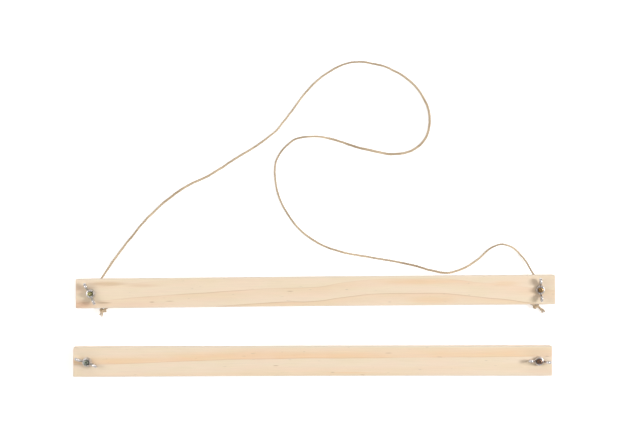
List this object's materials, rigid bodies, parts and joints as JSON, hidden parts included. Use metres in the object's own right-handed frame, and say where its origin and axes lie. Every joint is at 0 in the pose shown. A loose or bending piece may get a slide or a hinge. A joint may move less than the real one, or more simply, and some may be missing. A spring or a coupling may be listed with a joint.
{
  "type": "wooden tapestry hanger",
  "caption": "Wooden clamp hanger for a tapestry or print: an upper and a lower pair of pine slats drawn together by wing nuts on screws, with a twine hanging cord.",
  "frame": {"origin": "midway across the two clamps, on the surface that their backs rest on", "axes": "+X along the slats, to the right seen from the front; +Y from the lower clamp to the upper one and on towards the cord; +Z out of the front faces, where the wing nuts are"},
  "size_m": [0.4089, 0.2691, 0.0267],
  "materials": {
    "upper_slats": "bare planed pine, pale straw with soft orange grain",
    "lower_slats": "bare planed pine with a warmer band of heartwood",
    "screws": "yellow-passivated zinc-plated steel, from straw through olive to amber",
    "washers": "bright zinc-plated steel",
    "wing_nuts": "bright zinc-plated cast steel",
    "cord": "natural three-ply twine, matt and slightly hairy"
  },
  "bodies": {
    "upper_back": {"upper_back_slat": "upper_slats", "upper_left_screw": "screws", "upper_right_screw": "screws", "hanging_cord": "cord", "left_cord_hitch": "cord", "left_cord_knot": "cord", "left_cord_tail": "cord", "right_cord_hitch": "cord", "right_cord_knot": "cord", "right_cord_tail": "cord"},
    "upper_front": {"upper_front_slat": "upper_slats", "upper_left_washer": "washers", "upper_right_washer": "washers"},
    "upper_left_nut": {"upper_left_wing_nut": "wing_nuts"},
    "upper_right_nut": {"upper_right_wing_nut": "wing_nuts"},
    "lower_back": {"lower_back_slat": "lower_slats", "lower_left_screw": "screws", "lower_right_screw": "screws"},
    "lower_front": {"lower_front_slat": "lower_slats", "lower_left_washer": "washers", "lower_right_washer": "washers"},
    "lower_left_nut": {"lower_left_wing_nut": "wing_nuts"},
    "lower_right_nut": {"lower_right_wing_nut": "wing_nuts"}
  },
  "joints": [
    {"name": "textile_drop", "type": "slide", "parent": "upper_back", "child": "lower_back", "axis": [0, -1, 0], "range_m": [0, 0.55]},
    {"name": "upper_clamp_opening", "type": "slide", "parent": "upper_back", "child": "upper_front", "axis": [0, 0, 1], "range_m": [0, 0.007]},
    {"name": "upper_left_nut_turn", "type": "hinge", "parent": "upper_front", "child": "upper_left_nut", "pos_m": [-0.18929, 0.02743, 0.016], "axis": [0, 0, 1], "range_deg": [0, 3601]},
    {"name": "upper_right_nut_turn", "type": "hinge", "parent": "upper_front", "child": "upper_right_nut", "pos_m": [0.19169, 0.03076, 0.016], "axis": [0, 0, 1], "range_deg": [0, 3601]},
    {"name": "lower_clamp_opening", "type": "slide", "parent": "lower_back", "child": "lower_front", "axis": [0, 0, 1], "range_m": [0, 0.007]},
    {"name": "lower_left_nut_turn", "type": "hinge", "parent": "lower_front", "child": "lower_left_nut", "pos_m": [-0.1926, -0.03064, 0.014], "axis": [0, 0, 1], "range_deg": [0, 3601]},
    {"name": "lower_right_nut_turn", "type": "hinge", "parent": "lower_front", "child": "lower_right_nut", "pos_m": [0.1908, -0.02977, 0.014], "axis": [0, 0, 1], "range_deg": [0, 3601]}
  ],
  "couplings": [
    {"joint": "upper_left_nut_turn", "follows": "upper_clamp_opening", "rad_per_m": 8976},
    {"joint": "upper_right_nut_turn", "follows": "upper_clamp_opening", "rad_per_m": 8976},
    {"joint": "lower_left_nut_turn", "follows": "lower_clamp_opening", "rad_per_m": 8976},
    {"joint": "lower_right_nut_turn", "follows": "lower_clamp_opening", "rad_per_m": 8976}
  ]
}
